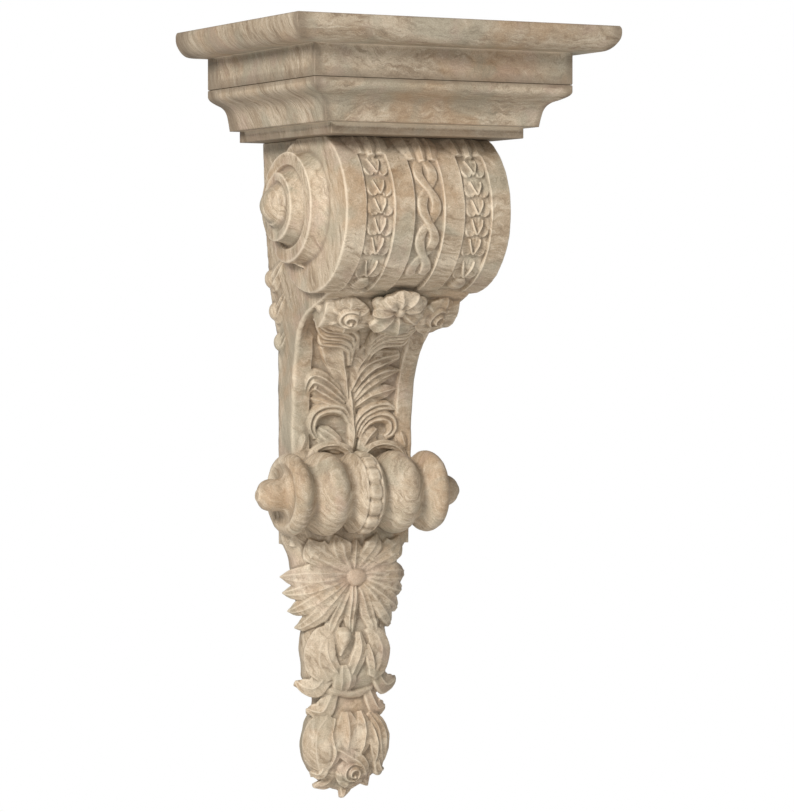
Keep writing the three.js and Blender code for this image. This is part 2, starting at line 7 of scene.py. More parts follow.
import bpy
import numpy as np
from mathutils import Euler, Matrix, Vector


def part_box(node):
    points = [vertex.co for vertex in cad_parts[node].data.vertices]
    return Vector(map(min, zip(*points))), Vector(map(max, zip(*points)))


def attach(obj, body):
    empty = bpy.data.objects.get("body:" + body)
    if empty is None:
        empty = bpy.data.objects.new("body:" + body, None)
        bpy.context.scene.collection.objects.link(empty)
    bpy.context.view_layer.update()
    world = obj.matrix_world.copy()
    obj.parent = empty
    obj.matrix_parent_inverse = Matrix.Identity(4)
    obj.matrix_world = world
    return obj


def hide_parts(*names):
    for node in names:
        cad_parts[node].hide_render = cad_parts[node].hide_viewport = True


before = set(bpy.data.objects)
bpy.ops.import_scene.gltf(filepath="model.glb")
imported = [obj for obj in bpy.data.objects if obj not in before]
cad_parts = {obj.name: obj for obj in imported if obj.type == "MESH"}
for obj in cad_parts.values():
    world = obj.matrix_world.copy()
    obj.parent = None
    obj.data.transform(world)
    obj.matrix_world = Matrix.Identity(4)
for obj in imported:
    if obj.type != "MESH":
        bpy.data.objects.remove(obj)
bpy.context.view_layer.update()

MM = 0.001
SIDES = (-1, 1)
rng = np.random.default_rng(7)

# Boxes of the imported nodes, in millimetres
slab_low, slab_high = (np.array(corner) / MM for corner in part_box("shelf_slab"))
bed_low, bed_high = (np.array(corner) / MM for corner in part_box("bed_moulding"))
carved_low, carved_high = (np.array(corner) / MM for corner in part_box("scroll_bracket"))

# Upper scroll and its eye, lower roll
DRUM = {"y": -167, "z": -3, "r": 101.5, "half": 116}
BAND = {"outer": 87, "inner": 50, "centre": 20, "deep": 4}
EYE = {"y": -143, "z": 5}
ROLL = {"y": -72, "z": -362}
BODY_TOP = carved_high[2]

# Front line of the shaft, and the sunk panel in its face
SHAFT_Z = [-430, -330, -300, -282, -259, -224, -195, -168, -150, -137, -127, -119, -107, -90]
SHAFT_Y = [-50, -55, -57, -55, -57, -61, -68, -80, -95, -110, -130, -155, -186, -190]
PANEL = {"top": -146, "bottom": -318, "deep": 6, "border": 26}
HOLLOW = {"z": -147, "long": 17, "deep": 12}

# Pendant: half-width and depth at each height
HANG_Z = [-752, -745, -728, -710, -690, -660, -645, -630, -614, -604, -590, -566, -545, -525, -500, -470,
          -447, -422, -396]
HANG_W = [10, 26, 46, 57, 60, 52, 41, 40, 47, 58, 57, 61, 58, 54, 68, 73, 76, 90, 82]
HANG_D = [32, 42, 50, 56, 58, 53, 48, 48, 52, 58, 56, 59, 56, 52, 58, 58, 58, 64, 60]
HANG_WIDEST = 26

# Fineness of the carved mesh and of what it is joined from, and how near a plane a point is laid on it
VOXEL = 1.0
FINE = 1.3
LEVEL_STEP = 2.0
SNAP = 0.7
CARVED_TRIANGLES = 190000


def eased(levels, values, at, reach=4.0):
    """Value in a rising table, averaged a little way up and down so that the line has no corners."""
    at = np.asarray(at, float)
    return sum(np.interp(at + k * reach, levels, values) for k in (-1, -0.5, 0, 0.5, 1)) / 5


def shaft_y(z):
    return eased(SHAFT_Z, SHAFT_Y, z)


def shaft_half(z):
    return eased([-430, -224, -182, -147, -112, -60, 90], [86, 88, 91, 97, 102, 104, 104], z)


def wall_half(z):
    return eased([-430, -170, -100, 0, 90], [80, 80, 92, 99, 102], z)


def hang_y(x, z):
    """Front surface of the pendant."""
    half = eased(HANG_Z, HANG_W, z)
    deep = eased(HANG_Z, HANG_D, z)
    u = np.minimum(0.97, np.abs(x) / half)
    return -HANG_WIDEST - (deep - HANG_WIDEST) * np.cbrt(1 - u**3)


# Curves and closed bodies. A body is a pair: points (n, 3) and triangles (m, 3).

def unit(v):
    v = np.asarray(v, float)
    return v / np.maximum(np.linalg.norm(v, axis=-1, keepdims=True), 1e-9)


def curve(points, t):
    """Places on a smooth curve through points, at shares t of the way through them."""
    p = np.asarray(points, float)
    last = len(p) - 1
    padded = np.vstack([2 * p[0] - p[1], p, 2 * p[-1] - p[-2]])
    f = np.clip(np.asarray(t, float) * last, 0, last - 1e-9)
    i = f.astype(int)
    w = (f - i)[:, None]
    a, b, c, d = (padded[i + k] for k in range(4))

    def gap(m, n):
        return np.maximum(np.linalg.norm(n - m, axis=1, keepdims=True) ** 0.5, 1e-3)

    ab, bc, cd = gap(a, b), gap(b, c), gap(c, d)
    leave = ((b - a) / ab - (c - a) / (ab + bc) + (c - b) / bc) * bc
    reach = ((c - b) / bc - (d - b) / (bc + cd) + (d - c) / cd) * bc
    w2, w3 = w**2, w**3
    return (2 * w3 - 3 * w2 + 1) * b + (w3 - 2 * w2 + w) * leave + (3 * w2 - 2 * w3) * c + (w3 - w2) * reach


def between(values, t):
    """Straight-line values along a row of controls."""
    v = np.asarray(values, float)
    f = np.clip(np.asarray(t, float) * (len(v) - 1), 0, len(v) - 1 - 1e-9)
    i = f.astype(int)
    w = (f - i).reshape(-1, *[1] * (v.ndim - 1))
    return v[i] + w * (v[i + 1] - v[i])


def loft(rings):
    """A closed body through rings of points (m, n, 3) that all run the same way round."""
    rings = np.asarray(rings, float)
    m, n = rings.shape[:2]
    points = np.vstack([rings.reshape(-1, 3), rings[0].mean(axis=0), rings[-1].mean(axis=0)])
    i, j = np.meshgrid(np.arange(m - 1), np.arange(n), indexing="ij")
    a = (i * n + j).ravel()
    b = (i * n + (j + 1) % n).ravel()
    k = np.arange(n)
    around = (k + 1) % n
    last = (m - 1) * n
    faces = np.vstack([
        np.stack([a, b, b + n], 1),
        np.stack([a, b + n, a + n], 1),
        np.stack([np.full(n, m * n), around, k], 1),
        np.stack([np.full(n, m * n + 1), last + k, last + around], 1),
    ])
    return points, faces


def turned(profile, axis, steps):
    """A turned body about a line across, from (x, radius) pairs."""
    profile = np.asarray(profile, float)
    angle = np.linspace(0, 2 * np.pi, steps, endpoint=False)
    rings = np.empty((len(profile), steps, 3))
    rings[:, :, 0] = profile[:, :1]
    rings[:, :, 1] = axis["y"] - profile[:, 1:] * np.cos(angle)
    rings[:, :, 2] = axis["z"] + profile[:, 1:] * np.sin(angle)
    return loft(rings)


# Forms of carved strips: how far across and up a point stands
# u runs from -1 to 1 across the strip, and t from 0 to 1 along it

def dome(u, t):
    return u + 0 * t, np.sqrt(np.maximum(0, 1 - u**2)) + 0 * t


def ridge(u, t):
    return u + 0 * t, (1 - np.abs(u)) ** 0.8 + 0 * t


def flat(u, t):
    """A flat face with rounded edges."""
    return u + 0 * t, (1 - np.minimum(1, np.abs(u)) ** 5) ** 0.5 + 0 * t


def veined(u, t):
    """A soft swelling with a thin vein along it."""
    rise = 0.1 + 0.8 * np.sqrt(np.maximum(0, 1 - u**2)) + 0.22 * np.exp(-((u / 0.1) ** 2))
    return u + 0 * t, rise + 0 * t


def crease(u, t):
    """Two round cheeks with a groove between them."""
    rise = 0.1 + 0.9 * np.sqrt(np.maximum(0, 1 - u**2)) - 0.4 * np.exp(-((u / 0.2) ** 2))
    return u + 0 * t, rise + 0 * t


def trough(u, t):
    """A hollow leaf with raised edges."""
    rise = 0.35 + 0.65 * np.abs(u) ** 1.5 - 0.8 * np.maximum(0, np.abs(u) - 0.85) / 0.15
    return u + 0 * t, rise + 0 * t


def fluted(flutes, deep=0.5):
    """Hollow flutes side by side, with thin arrises between them and at the edges."""
    def form(u, t):
        hollow = np.abs(np.sin(np.pi * flutes * (u + 1) / 2)) ** 0.7
        edge = np.maximum(0, np.abs(u) - 0.9) / 0.1
        return u + 0 * t, np.sqrt(1 - 0.7 * u**2) - deep * hollow - 0.4 * edge + 0 * t
    return form


def strip(controls, form, sink=5.0):
    """A carved strip along controls (place, outward direction, half-width, height)."""
    places = np.array([c[0] for c in controls], float)
    length = np.linalg.norm(np.diff(places, axis=0), axis=1).sum()
    t = np.linspace(0, 1, max(9, round(length / FINE)))
    at = curve(places, t)
    out = unit(between([c[1] for c in controls], t))
    half = between([[c[2]] for c in controls], t)
    high = between([[c[3]] for c in controls], t)
    along = unit(np.gradient(at, axis=0))
    side = unit(np.cross(along, out))
    up = unit(np.cross(side, along))
    u = np.linspace(-1, 1, 2 * round(half.max() / FINE) + 5)
    across, rise = form(u[None, :], t[:, None])
    face = at[:, None] + side[:, None] * (half * across)[..., None] + up[:, None] * (high * rise)[..., None]
    foot = [at + k * 0.8 * side * half * np.abs(across[:, -1:]) - up * sink for k in (1, -1)]
    return loft(np.concatenate([face, np.stack(foot, 1)], 1))


def on_surface(depth, rows):
    """Controls on a surface y = depth(x, z), from rows of (x, z, half-width, height, lift)."""
    controls = []
    for x, z, w, h, *lift in rows:
        n = unit([depth(x + 1, z) - depth(x - 1, z), -2, depth(x, z + 1) - depth(x, z - 1)])
        place = np.array([x, float(depth(x, z)), z]) + n * (lift[0] if lift else 0)
        controls.append((place, n, w, h))
    return controls


def on_round(axis, radius, rows):
    """Controls round a line across, from rows of (x, angle, half-width, height, lift).

    Angle 0 is the front.
    """
    controls = []
    for x, angle, w, h, *lift in rows:
        a = math.radians(angle)
        n = np.array([0, -math.cos(a), math.sin(a)])
        place = np.array([x, axis["y"], axis["z"]]) + n * (radius + (lift[0] if lift else 0))
        controls.append((place, n, w, h))
    return controls


def on_side(side, rows):
    """Controls on a side face, from rows of (distance from the wall, z, half-width, height, lift)."""
    controls = []
    for y, z, w, h, *lift in rows:
        place = (side * (float(wall_half(z)) + (lift[0] if lift else 0)), -y, z)
        controls.append((place, (side, 0, 0), w, h))
    return controls


# Shares of a petal's greatest width and height, from its root to its tip
POINTED = ([0.35, 0.8, 1.0, 0.8, 0.1], [0.5, 0.9, 1.0, 0.85, 0.4])
ROUNDED = ([0.45, 0.85, 1.0, 0.95, 0.45], [0.5, 0.9, 1.0, 0.95, 0.5])
FLARED = ([0.2, 0.42, 0.65, 0.9, 1.0], [0.6, 0.8, 0.9, 1.0, 1.0])
BLOCK = ([0.85, 1.0, 1.0, 1.0, 0.85], [0.6, 1.0, 1.0, 1.0, 0.6])
EVEN = ([0.6, 1.0, 1.0, 1.0, 0.5], [0.5, 1.0, 1.0, 1.0, 0.5])
FOLD = ([0.2, 0.8, 1.0, 0.9, 0.4], [0.2, 0.8, 1.0, 0.9, 0.3])
BUD = ([0.7, 1.0, 0.95, 0.6, 0.1], [0.5, 1.0, 1.0, 0.8, 0.4])


def petal(lay, line, wide, high, form, shape=POINTED, lift=0.0):
    """A petal laid on a surface along a line of places, from its root to its tip."""
    t = np.linspace(0, 1, 9)
    at = curve([(a, b, 0) for a, b in line], t)
    widths, heights = (np.interp(t, np.linspace(0, 1, 5), part) for part in shape)
    rows = [(a, b, wide * w, high * h, lift) for (a, b, _), w, h in zip(at, widths, heights)]
    return strip(lay(rows), form)


def rays(out):
    """Two directions that lie square to an outward direction: across and upward."""
    across = unit(np.cross([0, 0, 1], out))
    return across, unit(np.cross(out, across))


def pad(centre, out, radius, rise, tall=1.0):
    """A flattened round boss."""
    centre, out = np.asarray(centre, float), unit(out)
    across, _ = rays(out)
    line = []
    for k in np.linspace(-0.97, 0.97, 9):
        round_off = math.sqrt(1 - k * k)
        line.append((centre + across * radius * k, out, radius * tall * round_off, rise * round_off))
    return strip(line, dome, 3)


# Along a petal of a flower: share of its reach, lift, and shares of its width and height
PETAL_STEPS = ((0.12, 0.2, 0.25, 0.4), (0.4, 0.45, 0.75, 0.75), (0.7, 0.5, 1.0, 0.85),
               (0.9, 0.25, 0.85, 0.7), (1.0, 0.05, 0.35, 0.45))


def flower(centre, out, radius, petals, start, rise, form, droop=0.0):
    """Petals round a hub, on a centre with an outward direction; droop makes the lower ones longer."""
    centre, out = np.asarray(centre, float), unit(out)
    across, upward = rays(out)
    made = []
    step = 2 * math.pi / petals
    for i in range(petals):
        a = start + i * step
        ray = across * math.cos(a) + upward * math.sin(a)
        reach = radius * (1 + droop * max(0, -math.sin(a)))
        wide = reach * 0.6 * math.sin(step / 2) * 1.9
        line = []
        for share, up, width, high in PETAL_STEPS:
            line.append((centre + ray * share * reach + out * rise * up, out, wide * width, rise * high))
        made.append(strip(line, form, rise))
    made.append(pad(centre + out * rise * 0.55, out, radius * 0.26, rise * 0.7))
    return made


def rose(centre, out, radius, rise, start=0.8):
    """A round bud with a petal edge that winds in to its middle."""
    centre, out = np.asarray(centre, float), unit(out)
    across, upward = rays(out)
    line = []
    for k in np.linspace(0, 1, 25):
        a = start + k * 3.6 * math.pi
        place = centre + (across * math.cos(a) + upward * math.sin(a)) * radius * (0.95 - 0.8 * k)
        line.append((place + out * rise * (0.1 + 0.7 * k), out, radius * (0.24 - 0.1 * k), rise * 0.6))
    return [pad(centre, out, radius, rise * 0.75), strip(line, ridge, rise)]


# Parts of the carving

def body():
    """Shaft and the block behind the drum: level sections with a sunk panel in the face."""
    rings = []
    for z in np.append(np.arange(SHAFT_Z[0], BODY_TOP, LEVEL_STEP), BODY_TOP):
        y = DRUM["y"] if z > SHAFT_Z[-1] else float(shaft_y(z))
        front = float(shaft_half(z))
        inner = front - PANEL["border"]
        edge = min(PANEL["top"] - z, z - PANEL["bottom"])
        sunk = PANEL["deep"] * min(1, max(0, edge / 3 + 0.5))
        bowl = HOLLOW["deep"] * math.exp(-(((z - HOLLOW["z"]) / HOLLOW["long"]) ** 2))
        half = [
            (float(wall_half(z)), 0),
            (front, y + 4),
            (front - 1.2, y + 1.2),
            (front - 4, y),
            (front - 10, y + bowl * 0.6),
            (front - 18, y + bowl),
            (inner + 2, y + bowl * 0.8),
            (inner - 1, y + max(sunk, bowl * 0.7)),
        ]
        rings.append([(x, d, z) for x, d in half] + [(-x, d, z) for x, d in reversed(half)])
    return [loft(rings)]


def drum():
    half, r, deep = DRUM["half"], DRUM["r"], BAND["deep"]
    rows = [(half, r - 1.5), (half - 0.5, r - 0.4), (half - 1.6, r)]
    for edge, side in ((BAND["outer"], 1), (BAND["inner"], -1), (BAND["centre"], 1)):
        sunk = [(edge + side * 2.6, r), (edge + side * 2, r + 0.5), (edge + side * 0.8, r + 0.4),
                (edge - side * 0.4, r - deep)]
        rows += sunk if side > 0 else sunk[::-1]
    profile = [(half, 0), *rows, *[(-x, d) for x, d in reversed(rows)], (-half, 0)]
    return [turned(profile, DRUM, 240)]


# Volute rim: radius, height and share of the way to the eye, after a number of turns from the lowest point
VOLUTE = {"turns": 2.5, "steps": 110, "share": 0.24, "root": 92}
RIM_TURNS = [0, 0.12, 0.5, 1.0, 1.5, 2.0, 2.5, 3.0, 3.5]
RIM_RADIUS = [101.5, 101.5, 101.5, 70, 68, 44, 42, 24, 22]
RIM_HIGH = [104, 115.5, 115.5, 136, 139, 152, 154, 160, 164]
RIM_SHIFT = [0, 0, 0, 1, 1, 1, 1, 1, 1]

# Round boss on the eye, and the disc that fills the spiral's middle behind it
BOSS = {"root": 90, "r": 22, "neck": 153, "rise": 19}
EYE_BED = {"r": 40, "face": 151}


def rim_at(turn):
    """Radius, height and centre of the rim."""
    rows = (RIM_RADIUS, RIM_HIGH, RIM_SHIFT)
    radius, high, shift = (float(eased(RIM_TURNS, row, turn, 0.05)) for row in rows)
    centre = np.array([DRUM[key] + shift * (EYE[key] - DRUM[key]) for key in ("y", "z")])
    return radius, high, centre


def volute(side):
    """Stepped spiral that winds in and out to a round boss."""
    rings = []
    count = round(VOLUTE["turns"] * VOLUTE["steps"])
    for i in range(count + 1):
        turn = i / VOLUTE["steps"]
        angle = -math.pi / 2 + 2 * math.pi * turn
        outer, high, centre = rim_at(turn)
        inner, low, next_centre = rim_at(turn + 1)
        rim = outer * (1 - VOLUTE["share"])
        floor = high - 0.05 * outer
        cove = curve([
            (rim, high - 0.8, 0),
            (rim + 0.3 * (inner - rim), floor - 0.8, 0),
            (rim + 0.7 * (inner - rim), floor + 0.22 * (low - floor), 0),
            (inner - 0.5, low - 3, 0),
        ], np.linspace(0, 1, 10))[:, :2]
        buried = inner - 6
        section = [(outer, VOLUTE["root"]), (outer, high - 1), (outer - 0.4, high - 0.3), (outer - 1.2, high),
                   (rim + 1.5, high - 0.2), (rim + 0.6, high), *cove, (buried, low - 3),
                   (buried, VOLUTE["root"])]
        ahead, above = -math.cos(angle), math.sin(angle)
        ring = []
        for r, x in section:
            y, z = centre + (next_centre - centre) * np.clip((rim - r) / (rim - inner), 0, 1)
            ring.append((side * x, y + r * ahead, z + r * above))
        rings.append(ring)
    a = np.linspace(0, math.pi / 2, 10)
    knob = [(side * (BOSS["neck"] + BOSS["rise"] * math.sin(k)), BOSS["r"] * math.cos(k)) for k in a]
    root = side * BOSS["root"]
    boss = [(root, 0), (root, BOSS["r"]), *knob]
    face, r = EYE_BED["face"], EYE_BED["r"]
    bed = [(root, 0), (root, r), (side * (face - 1), r), (side * face, r - 4), (side * face, 0)]
    return [loft(rings), turned(bed, EYE, 48), turned(boss, EYE, 48)]


on_drum = partial(on_round, DRUM, DRUM["r"])

# Where each cup of the chains starts on the drum, and how far it reaches, in degrees
CUPS = [(41, 15), (23, 12.5), (9, 12.5), (-5, 13), (-19.5, 14), (-38, 17)]


def chain(side):
    """Double cups with two veins that meet, down an outer band of the drum."""
    middle = side * (BAND["outer"] + BAND["inner"]) / 2
    made = [petal(on_drum, [(middle, -56), (middle, -64), (middle, -71)], 12, 6, dome, ROUNDED, -3)]
    for top, long in CUPS:
        for s in SIDES:
            cup = [
                (middle + s * 9, top + 1.5, 8.5, 1.5, -4.6),
                (middle + s * 9.2, top - long * 0.45, 9.4, 3.6, -4.2),
                (middle + s * 8.8, top - long * 0.8, 8, 4.6, -3.8),
                (middle + s * 8, top - long, 3, 4, -3.8),
            ]
            made.append(strip(on_drum(cup), trough, 3))
            vein = [
                (middle + s * 7.5, top - long * 0.05, 1.0, 2.6, -3.4),
                (middle + s * 6.2, top - long * 0.35, 1.5, 4.2, -3),
                (middle + s * 2.8, top - long * 0.68, 1.6, 4.6, -2.8),
                (middle + s * 0.2, top - long * 0.9, 1.5, 4.2, -2.8),
            ]
            made.append(strip(on_drum(vein), dome, 3))
    return made


def ribbon():
    """Two broad strands that cross each other down the middle band of the drum."""
    made = []
    pitch, step = 25.0, 3.3
    for s in SIDES:
        line = []
        for i in range(29):
            phase = i * step / pitch * math.pi
            bow = abs(math.sin(phase))
            line.append((s * 10 * math.sin(phase), 41 - i * step, 4.6 + 2.6 * bow,
                         5.2 + s * 1.7 * math.cos(phase), -4))
        made.append(strip(on_drum(line), fluted(1, 0.3), 3))
    return made


def crown():
    """Leaves that hang from under the bed moulding over the head of each band."""
    made = []
    for x, foot in ((-68.5, 43), (0, 38), (68.5, 43)):
        for s in SIDES:
            line = [(x + s * 10, 78), (x + s * 16, 60), (x + s * 14, foot + 1)]
            made.append(petal(on_drum, line, 14, 6.5, veined, ROUNDED, -1.5))
        made.append(petal(on_drum, [(x, 80), (x + 1, 60), (x, foot - 1)], 11, 8.5, veined, ROUNDED, -1))
    return made


PETAL = fluted(2, 0.35)
FAN = fluted(3, 0.25)


def face_y(x, z):
    return shaft_y(z) + 0 * x


on_face = partial(on_surface, face_y)


def garland():
    """Flowers, leaves and folds of drapery under the drum."""
    made = []
    out = unit([0, -0.72, -0.69])
    swag = [((x, -152 - 6 * math.cos(x / 60), -127), out, 26, 13) for x in (-94, -50, 0, 50, 94)]
    made.append(strip(swag, dome, 20))
    made += flower((-1, -184, -123), out, 31, 8, 0.2, 11, PETAL, 0.45)
    for s in SIDES:
        outward = (s * 0.25, -0.72, -0.69)
        made += flower((s * 62, -161, -131), outward, 29, 6, 0.4, 8, PETAL)
        made += rose((s * 61, -167, -135), outward, 16, 10)
        made.append(pad((s * 29, -186, -116), out, 10, 9))
        made.append(pad((s * 33, -165, -134), out, 11, 9))
        made.append(pad((s * 88, -150, -120), (s * 0.5, -0.7, -0.5), 12, 10))
        for drop, start, wide, high in ((0, 84, 9, 12), (10, 74, 8, 10), (19, 66, 8, 8)):
            line = [(s * start, -136 - drop), (s * 58, -146 - drop), (s * 34, -147 - drop),
                    (s * 16, -157 - drop), (s * 11, -178 - drop)]
            made.append(petal(on_face, line, wide, high, crease, FOLD))
    return made


def panel_y(x, z):
    return shaft_y(z) + PANEL["deep"] + 0 * x


on_panel = partial(on_surface, panel_y)


def foliage():
    """A stem with a trumpet and a tulip on the left, an acanthus on the right and curled leaves below."""
    lines = [
        ([(0, -308), (1, -280), (-3, -250), (-6, -225)], 7, 10, fluted(2, 0.3), EVEN),
        ([(-7, -250), (-13, -216), (-21, -190), (-30, -165)], 29, 10, fluted(2, 0.5), FLARED),
        ([(-12, -245), (-30, -233), (-48, -221), (-62, -216), (-67, -230)],
         18, 14, fluted(4, 0.3), ROUNDED),
        ([(-8, -250), (-28, -248), (-46, -243), (-64, -238)], 9, 10, veined, POINTED),
        ([(-4, -270), (-14, -256), (-34, -252), (-53, -258), (-60, -276), (-52, -291)],
         10, 12, crease, ROUNDED),
        ([(-14, -306), (-26, -298), (-40, -288), (-50, -278)], 15, 10, fluted(3, 0.25), ROUNDED),
        ([(2, -252), (20, -238), (42, -231), (64, -227)], 11, 11, fluted(2, 0.35), POINTED),
        ([(2, -242), (18, -221), (38, -208), (66, -203)], 14, 13, fluted(3, 0.3), POINTED),
        ([(-2, -230), (9, -206), (26, -191), (60, -183)], 16, 14, fluted(3, 0.3), ROUNDED),
        ([(-3, -222), (3, -196), (14, -177), (36, -163)], 13, 11, PETAL, POINTED),
        ([(2, -296), (9, -268), (26, -254), (48, -250), (66, -256)], 9, 11, crease, POINTED),
        ([(10, -292), (20, -272), (38, -264), (55, -268), (58, -284), (48, -292)], 9, 11, crease, ROUNDED),
        ([(12, -308), (22, -293), (36, -280)], 11, 9, PETAL, ROUNDED),
    ]
    made = [petal(on_panel, *rest) for rest in lines]
    for s in SIDES:
        spur = [(s * 77, -306), (s * 72, -295), (s * 70, -284)]
        made.append(petal(on_face, spur, 7, 5, veined, POINTED, -1))
        arch = []
        for i in range(13):
            a = i / 12 * math.pi
            arch.append((s * 38 + 6 - 30 * math.cos(a), -320 + 20 * math.sin(a), 6, 9, -2))
        made.append(strip(on_face(arch), fluted(2, 0.35), 8))
    return made


def side_leaves(side):
    """A band that winds down each side behind the volute, with leaves that curl over the back edge."""
    on_cheek = partial(on_side, side)
    band = [(100, -84), (76, -102), (52, -124), (44, -152), (30, -184), (22, -222)]
    made = [petal(on_cheek, band, 9, 6, veined, EVEN, -1)]
    for z in (-86, -127, -167):
        line = [(52, z + 26), (34, z + 9), (16, z - 3), (11, z)]
        made.append(petal(on_cheek, line, 15, 9, fluted(3, 0.3), ROUNDED, -1))
        made.append(pad((side * (float(wall_half(z)) - 1), -11, z), (side, 0, 0), 13, 11))
    return made


ROLL_HALF = [(145, 0), (145, 7), (143, 9), (138, 16), (130, 20), (112, 21), (106, 28), (107, 36), (111, 42),
             (108, 49), (100, 53), (92, 51), (86, 45), (81, 40), (77, 39), (73, 41), (67, 47), (60, 52),
             (51, 54), (42, 52), (34, 46), (28, 41), (23, 40), (19, 43), (15, 49), (10, 52), (8, 49)]


def roll():
    """Lower roll: lobes, grooves and rolled ends, with a row of flat beads round the middle."""
    rows = ROLL_HALF + [(-x, r) for x, r in reversed(ROLL_HALF)]
    smooth = curve([(x, r, 0) for x, r in rows], np.linspace(0, 1, 6 * len(rows)))[:, :2]
    made = [turned(np.maximum(smooth, [-200, 0]), ROLL, 120)]
    on_roll = partial(on_round, ROLL, 46)
    for i in range(7):
        a = 80 - i * 25
        made.append(petal(on_roll, [(0, a + 12), (0, a), (0, a - 12)], 9.5, 9, flat, BLOCK))
    return made


def hang():
    """Pendant below the roll: level sections, flat at the wall."""
    rings = []
    for z in np.linspace(HANG_Z[0], HANG_Z[-1], 150):
        half = float(eased(HANG_Z, HANG_W, z))
        front = float(eased(HANG_Z, HANG_D, z)) - HANG_WIDEST
        ring = [(half * 0.76, 0, z), (half * 0.93, -10, z)]
        for a in np.linspace(0, math.pi, 29):
            c = math.cos(a)
            x = half * math.copysign(abs(c) ** (2 / 3), c)
            ring.append((x, -HANG_WIDEST - front * max(0.0, math.sin(a)) ** (2 / 3), z))
        ring += [(-half * 0.93, -10, z), (-half * 0.76, 0, z)]
        rings.append(ring)
    return [loft(rings)]


on_hang = partial(on_surface, hang_y)


def palmette():
    """Broad pointed petals that spread from the knot of the pendant and lie over each other."""
    made = []
    knot = -470
    for s in SIDES:
        for z, tip, wide in ((-538, 69, 15), (-516, 79, 17), (-492, 86, 17), (-471, 90, 18)):
            fall = z - knot
            made.append(strip([
                ((s * 4, -60, knot), (0, -1, 0), 5, 4),
                ((s * tip * 0.36, -59, knot + fall * 0.3), (s * 0.1, -1, 0), wide * 0.75, 8),
                ((s * tip * 0.68, -51, knot + fall * 0.68), (s * 0.45, -1, 0), wide, 10),
                ((s * tip * 0.9, -33, knot + fall * 0.95), (s * 0.75, -0.8, 0), wide * 0.5, 7),
                ((s * tip, -24, z), (s * 0.8, -0.7, 0), 0.8, 2),
            ], FAN, 8))
        for x, z, wide in ((66, -420, 19), (30, -416, 18)):
            made.append(strip([
                ((s * 5, -60, -466), (0, -1, 0), 5, 4),
                ((s * (x * 0.5 + 3), -59, -448), (s * 0.2, -1, 0), wide * 0.8, 7),
                ((s * x * 0.88, float(hang_y(x, z - 8)) - 3, z - 14), (s * 0.4, -1, 0), wide, 8),
                ((s * x, float(hang_y(x, z)) - 2, z), (s * 0.5, -1, 0), 1, 2),
            ], FAN, 8))
        heel = [(s * 5, -478), (s * 17, -502), (s * 28, -530), (s * 35, -550)]
        made.append(petal(on_hang, heel, 13, 8, FAN))
        made += flower((s * 58, float(hang_y(58, -440)) - 4, -438), (s * 0.3, -1, 0), 10, 5, 0.3, 5, PETAL)
    made.append(petal(on_hang, [(0, -466), (-1, -440), (0, -422)], 12, 8, PETAL))
    made.append(petal(on_hang, [(-2, -476), (-3, -510), (-5, -548)], 9, 9, FAN, EVEN))
    made.append(pad((1, -62, -472), (0, -1, 0), 16, 7, 0.7))
    return made


def claw(s, root, bend, tip, wide):
    """A leaf that leaves the pendant and turns up to a point at the side."""
    over = (0.35 * bend[0] + 0.65 * tip[0], bend[1] * 0.6 + tip[1] * 0.4)
    line = [
        ((s * root[0], float(hang_y(*root)) + 2, root[1]), (s * 0.3, -1, 0), wide * 0.7, 6),
        ((s * bend[0], -44, bend[1]), (s * 0.6, -0.9, -0.2), wide, 8),
        ((s * over[0], -38, over[1]), (s * 0.6, -0.8, 0), wide * 0.6, 7),
        ((s * tip[0], -33, tip[1]), (s * 0.3, -0.3, 1), 1.5, 3),
    ]
    return strip(line, PETAL, 6)


